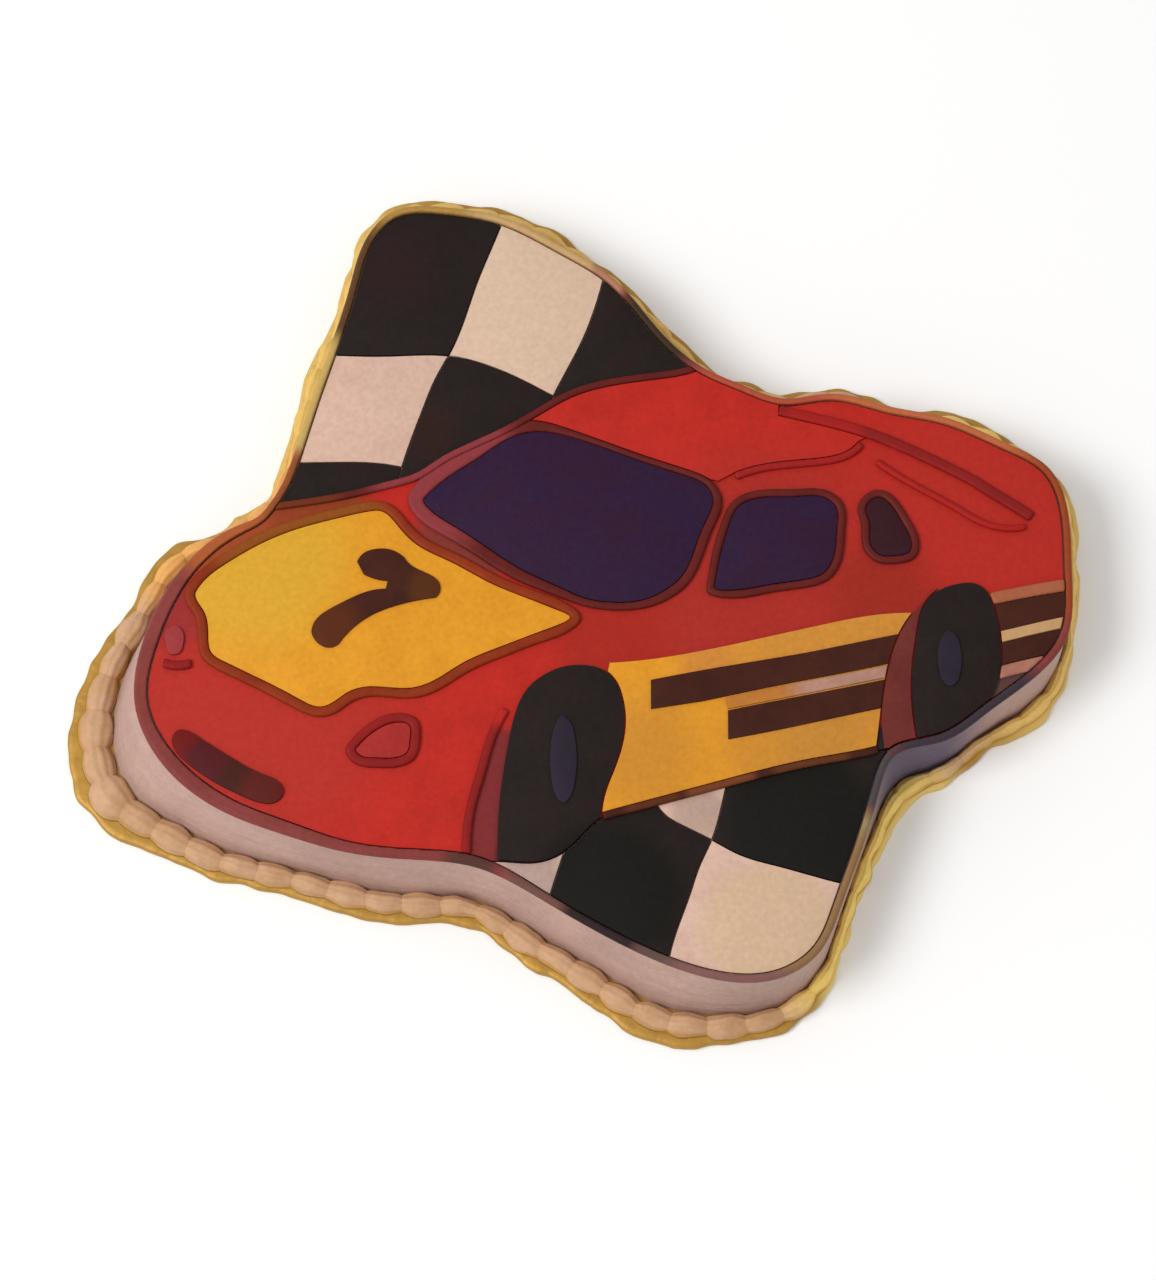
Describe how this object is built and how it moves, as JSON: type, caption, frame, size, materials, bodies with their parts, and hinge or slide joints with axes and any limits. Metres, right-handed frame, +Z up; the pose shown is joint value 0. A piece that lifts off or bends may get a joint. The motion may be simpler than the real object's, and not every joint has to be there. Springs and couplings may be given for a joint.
{
  "type": "iced novelty cake shaped as a stock car",
  "caption": "Flat iced novelty cake on a gold foil board, cut to the outline of a red and yellow stock car in front of a wavy checkered flag.",
  "frame": {"origin": "centre of the board's outline box, on its underside", "axes": "+Z up out of the picture, -Y towards the viewer, the pictured car's nose towards -X"},
  "size_m": [0.3897, 0.3466, 0.035],
  "materials": {
    "gold_foil": "gold foil over cardboard",
    "sponge": "open crumb",
    "icing_white": "smooth set icing",
    "icing_cream": "piped icing",
    "icing_maroon": "piped icing",
    "icing_black": "smooth set icing",
    "icing_ivory": "smooth set icing",
    "icing_red": "smooth set icing",
    "icing_deep_red": "piped icing",
    "icing_brown_red": "piped icing",
    "icing_yellow": "smooth set icing",
    "icing_navy": "smooth set icing",
    "icing_dark_brown": "smooth set icing"
  },
  "bodies": {
    "root": {"cake_board": "gold_foil", "sponge_block": "sponge", "icing_coat": "icing_white", "base_border": "icing_cream", "edge_outline": "icing_maroon", "flag_upper_dark": "icing_black", "flag_upper_pale": "icing_ivory", "flag_lower_dark": "icing_black", "flag_lower_pale": "icing_ivory", "car_base": "icing_red", "hood_panel": "icing_yellow", "hood_outline": "icing_brown_red", "hood_numeral": "icing_dark_brown", "car_back_line": "icing_brown_red", "roof_panel": "icing_red", "windshield_pane": "icing_navy", "windshield_frame": "icing_brown_red", "side_window_panes": "icing_navy", "side_window_frames": "icing_brown_red", "drip_rail": "icing_deep_red", "rear_spoiler": "icing_deep_red", "sill_panel": "icing_yellow", "sill_foot_line": "icing_dark_brown", "sill_stripe_upper": "icing_dark_brown", "sill_stripe_lower": "icing_dark_brown", "sill_stripe_pale": "icing_ivory", "front_tyre": "icing_black", "front_hub": "icing_navy", "front_arch": "icing_brown_red", "rear_tyre": "icing_black", "rear_hub": "icing_navy", "rear_arch": "icing_brown_red", "grille_slot": "icing_dark_brown", "headlight_rings": "icing_deep_red", "headlight_lenses": "icing_red", "tail_band": "icing_dark_brown", "tail_line_cream": "icing_ivory", "tail_line_pink": "icing_brown_red", "tail_line_yellow": "icing_yellow"}
  },
  "joints": []
}
